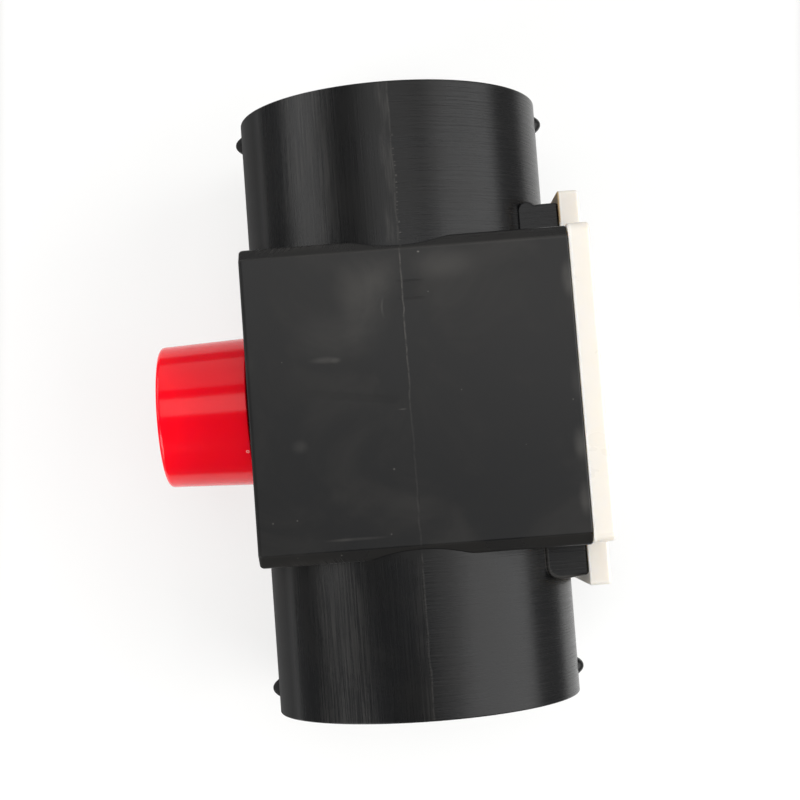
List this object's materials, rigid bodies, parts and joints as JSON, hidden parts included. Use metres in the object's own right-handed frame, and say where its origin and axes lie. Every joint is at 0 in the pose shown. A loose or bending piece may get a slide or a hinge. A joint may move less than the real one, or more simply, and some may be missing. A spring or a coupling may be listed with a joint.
{
  "type": "seacock valve",
  "caption": "Quarter-turn seacock valve: round hose tubes on a square moulded body, a tapered round knob on one side and a screwed cover plate on the other.",
  "frame": {"origin": "centre of the ball, where the flow axis of the hose line crosses the spindle axis", "axes": "+Y along the flow axis to the upper tube, +X along the spindle axis towards the cover plate, +Z out of the square front face; the valve lies on its flat back face"},
  "size_m": [0.1074, 0.15, 0.078],
  "materials": {
    "body_black": "satin moulded",
    "knob_red": "glossy moulded",
    "cover_ivory": "glossy moulded",
    "ball_white": "smooth moulded",
    "seat_ptfe": "waxy",
    "seal_rubber": "matte",
    "steel": "turned stainless",
    "brass": "turned"
  },
  "bodies": {
    "valve": {"valve_body": "body_black", "cover_plate": "cover_ivory", "spindle_thrust_washer": "seat_ptfe", "spindle_guide_bush": "seat_ptfe", "trunnion_bush": "seat_ptfe", "trunnion_washer": "seat_ptfe", "cover_seal": "seal_rubber", "upper_seat_ring": "seat_ptfe", "upper_seat_seal": "seal_rubber", "upper_seat_retainer": "body_black", "lower_seat_ring": "seat_ptfe", "lower_seat_seal": "seal_rubber", "lower_seat_retainer": "body_black", "cover_screw_1": "steel", "cover_insert_1": "brass", "cover_screw_2": "steel", "cover_insert_2": "brass", "cover_screw_3": "steel", "cover_insert_3": "brass", "cover_screw_4": "steel", "cover_insert_4": "brass"},
    "knob": {"turn_knob": "knob_red", "knob_screw": "steel", "drive_spindle": "steel", "inner_spindle_seal": "seal_rubber", "outer_spindle_seal": "seal_rubber"},
    "closure": {"ball": "ball_white", "trunnion_pin": "steel"}
  },
  "joints": [
    {"name": "knob_turn", "type": "hinge", "parent": "valve", "child": "knob", "pos_m": [-0.0486, 0, 0], "axis": [1, 0, 0], "range_deg": [0, 90]},
    {"name": "ball_turn", "type": "hinge", "parent": "valve", "child": "closure", "pos_m": [0, 0, 0], "axis": [1, 0, 0], "range_deg": [0, 90]}
  ],
  "couplings": [
    {"joint": "ball_turn", "follows": "knob_turn", "ratio": 1}
  ]
}
